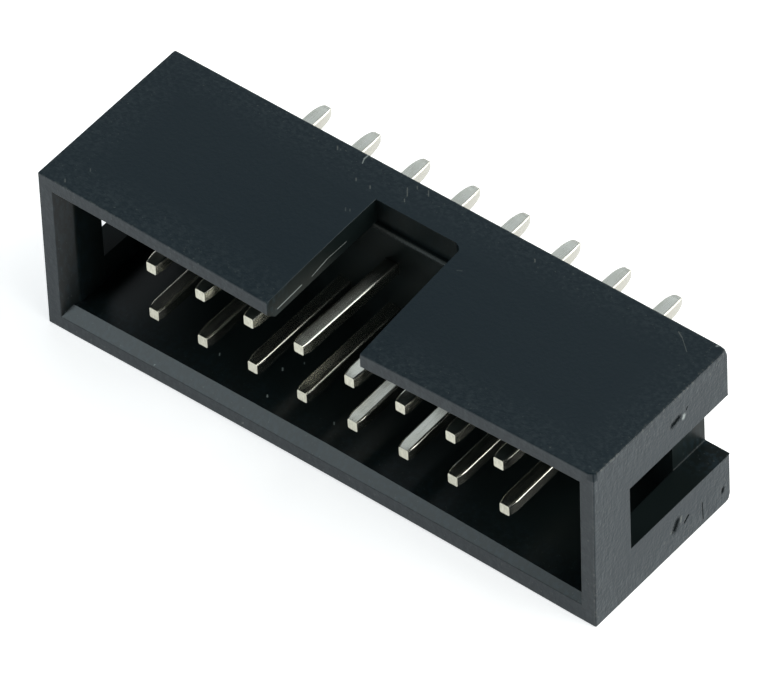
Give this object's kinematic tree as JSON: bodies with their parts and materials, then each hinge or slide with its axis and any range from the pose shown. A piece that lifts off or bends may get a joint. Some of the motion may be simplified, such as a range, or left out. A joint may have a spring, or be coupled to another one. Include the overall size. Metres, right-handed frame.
{
  "type": "idc box header",
  "caption": "Shrouded board header for a flat cable socket: a black keyed box housing round two rows of square contacts with solder tails.",
  "frame": {"origin": "centre of the contact field on the plane that seats on the board", "axes": "+X along the contact rows, +Y from the mating mouth towards the solder tails, +Z from the resting long side to the key slot side"},
  "size_m": [0.0278, 0.0119, 0.0086],
  "materials": {
    "housing_plastic": "black glass-filled polyester as moulded, fine satin grain",
    "contact_plating": "bright tin plating over drawn square copper alloy wire"
  },
  "bodies": {
    "root": {"housing": "housing_plastic", "contact_pin_1": "contact_plating", "contact_pin_2": "contact_plating", "contact_pin_3": "contact_plating", "contact_pin_4": "contact_plating", "contact_pin_5": "contact_plating", "contact_pin_6": "contact_plating", "contact_pin_7": "contact_plating", "contact_pin_8": "contact_plating", "contact_pin_9": "contact_plating", "contact_pin_10": "contact_plating", "contact_pin_11": "contact_plating", "contact_pin_12": "contact_plating", "contact_pin_13": "contact_plating", "contact_pin_14": "contact_plating", "contact_pin_15": "contact_plating", "contact_pin_16": "contact_plating"}
  },
  "joints": []
}
